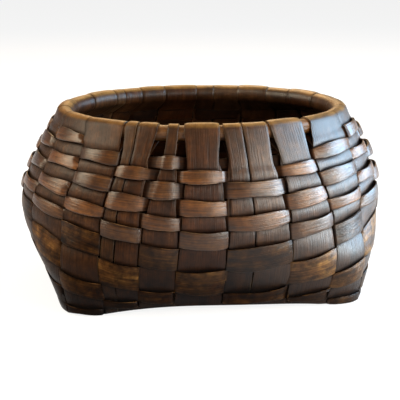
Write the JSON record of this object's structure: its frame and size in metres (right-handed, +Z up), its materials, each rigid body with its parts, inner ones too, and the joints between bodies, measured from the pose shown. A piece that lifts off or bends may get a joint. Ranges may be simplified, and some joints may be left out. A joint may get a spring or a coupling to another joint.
{
  "type": "woven basket",
  "caption": "Open rectangular splint basket with a bulging woven wall, corner feet and a round rod rim that the uprights fold over.",
  "frame": {"origin": "on the floor under the middle of the basket", "axes": "+X along the long side, +Y from the front to the back, +Z up"},
  "size_m": [0.3022, 0.2371, 0.1518],
  "materials": {
    "upright_splint": "aged split hardwood, worn satin",
    "weaver_splint": "aged split hardwood with an old varnish, semi-gloss",
    "rim_rod": "round hardwood hoop, worn satin"
  },
  "bodies": {
    "root": {"short_upright_1": "upright_splint", "short_upright_2a": "upright_splint", "short_upright_2b": "upright_splint", "short_upright_3": "upright_splint", "short_upright_4": "upright_splint", "short_upright_5a": "upright_splint", "short_upright_5b": "upright_splint", "short_upright_6": "upright_splint", "short_upright_7": "upright_splint", "long_upright_1": "upright_splint", "long_upright_2": "upright_splint", "long_upright_3": "upright_splint", "long_upright_4": "upright_splint", "weaver_row_1": "weaver_splint", "weaver_row_2": "weaver_splint", "weaver_row_3": "weaver_splint", "weaver_row_4": "weaver_splint", "weaver_row_5": "weaver_splint", "weaver_row_6": "weaver_splint", "weaver_row_7": "weaver_splint", "weaver_row_8": "weaver_splint", "weaver_row_9": "weaver_splint", "filler_weaver": "weaver_splint", "filler_lap_left": "weaver_splint", "filler_lap_right": "weaver_splint", "low_filler_left": "weaver_splint", "low_filler_right": "weaver_splint", "corner_filler_left": "weaver_splint", "corner_filler_right": "weaver_splint", "rim_rod": "rim_rod"}
  },
  "joints": []
}
